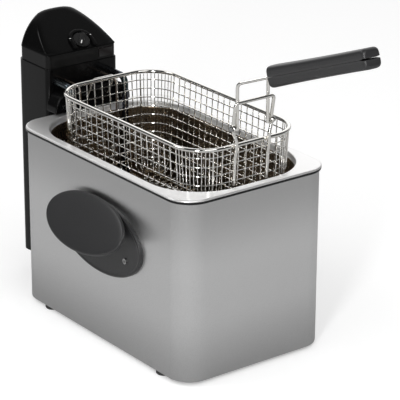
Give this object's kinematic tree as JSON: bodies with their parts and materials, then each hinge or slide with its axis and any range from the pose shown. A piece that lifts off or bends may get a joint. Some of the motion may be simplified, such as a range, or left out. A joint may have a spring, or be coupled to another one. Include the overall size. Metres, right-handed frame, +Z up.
{
  "type": "deep fryer",
  "caption": "Rectangular steel deep fryer with a lift-out tank, a black control head hooked on its rear, oval carry handles and a wire basket with a folding handle.",
  "frame": {"origin": "on the floor, under the middle of the whole object, handle and control head included", "axes": "+Z up, the casing's front end and the basket handle towards -Y, control head at +Y"},
  "size_m": [0.2658, 0.5496, 0.3881],
  "materials": {
    "brushed_steel": "satin, fine grain",
    "polished_steel": "bright, drawn steel",
    "black_gloss": "glossy moulded phenolic",
    "black_matte": "matt moulded",
    "handle_grey": "satin moulded",
    "foot_rubber": "matt",
    "wire_chrome": "bright wire",
    "heater_sheath": "heat-tinted",
    "bulb_copper": "tinned copper",
    "lens_black": "smoked",
    "lamp_red": "clear",
    "part_cream": "ceramic and phenolic",
    "button_red": "glossy",
    "screw_steel": "bright"
  },
  "bodies": {
    "shell": {"casing": "brushed_steel", "base_tray": "black_matte", "feet": "foot_rubber", "carry_handle_left": "handle_grey", "carry_handle_right": "handle_grey", "carry_handle_screws": "screw_steel", "head_rail": "brushed_steel", "rail_rivets": "screw_steel"},
    "tank": {"tank": "polished_steel"},
    "head": {"head_front_shell": "black_gloss", "head_rear_cover": "black_gloss", "head_collar": "black_gloss", "head_dome": "black_gloss", "knob_bezel": "black_gloss", "element_shroud": "black_gloss", "shroud_screws": "screw_steel", "indicator_lens": "lens_black", "indicator_lamps": "lamp_red", "thermostat_body": "part_cream", "thermostat_bulb": "bulb_copper", "cutout_bulb": "bulb_copper", "heating_element": "heater_sheath", "element_clips": "screw_steel", "thermal_cutout": "part_cream", "interlock_switch": "black_matte", "terminal_block": "part_cream", "cord_gland": "black_matte", "cover_screws": "screw_steel", "basket_hanger": "wire_chrome"},
    "knob": {"thermostat_knob": "black_gloss", "knob_spindle": "screw_steel"},
    "reset": {"reset_button": "button_red"},
    "plunger": {"interlock_plunger": "part_cream"},
    "basket": {"basket_rim": "wire_chrome", "basket_cross_wires": "wire_chrome", "basket_long_wires": "wire_chrome", "basket_corner_wires": "wire_chrome", "basket_rings": "wire_chrome", "basket_bracket": "wire_chrome"},
    "basket_handle": {"handle_yoke": "wire_chrome", "handle_pins": "wire_chrome", "grip_upper": "handle_grey", "grip_lower": "handle_grey"}
  },
  "joints": [
    {"name": "tank_lift", "type": "slide", "parent": "shell", "child": "tank", "axis": [0, 0, 1], "range_m": [0, 0.2]},
    {"name": "head_lift", "type": "slide", "parent": "tank", "child": "head", "axis": [0, 0, 1], "range_m": [0, 0.2]},
    {"name": "basket_travel", "type": "slide", "parent": "head", "child": "basket", "axis": [0, -0.0894, 0.996], "range_m": [-0.0783, 0]},
    {"name": "handle_fold", "type": "hinge", "parent": "basket", "child": "basket_handle", "pos_m": [0, -0.09533, 0.266], "axis": [1, 0, 0], "range_deg": [-155, 0]},
    {"name": "thermostat_turn", "type": "hinge", "parent": "head", "child": "knob", "pos_m": [0.006, 0.21877, 0.2747], "axis": [0, -0.5567, 0.8307], "range_deg": [-270, 0]},
    {"name": "reset_press", "type": "slide", "parent": "head", "child": "reset", "axis": [0, -1, 0], "range_m": [0, 0.002], "stiffness_N_per_m": 400},
    {"name": "interlock_press", "type": "slide", "parent": "head", "child": "plunger", "axis": [0, 0, 1], "range_m": [0, 0.0015], "stiffness_N_per_m": 300}
  ]
}
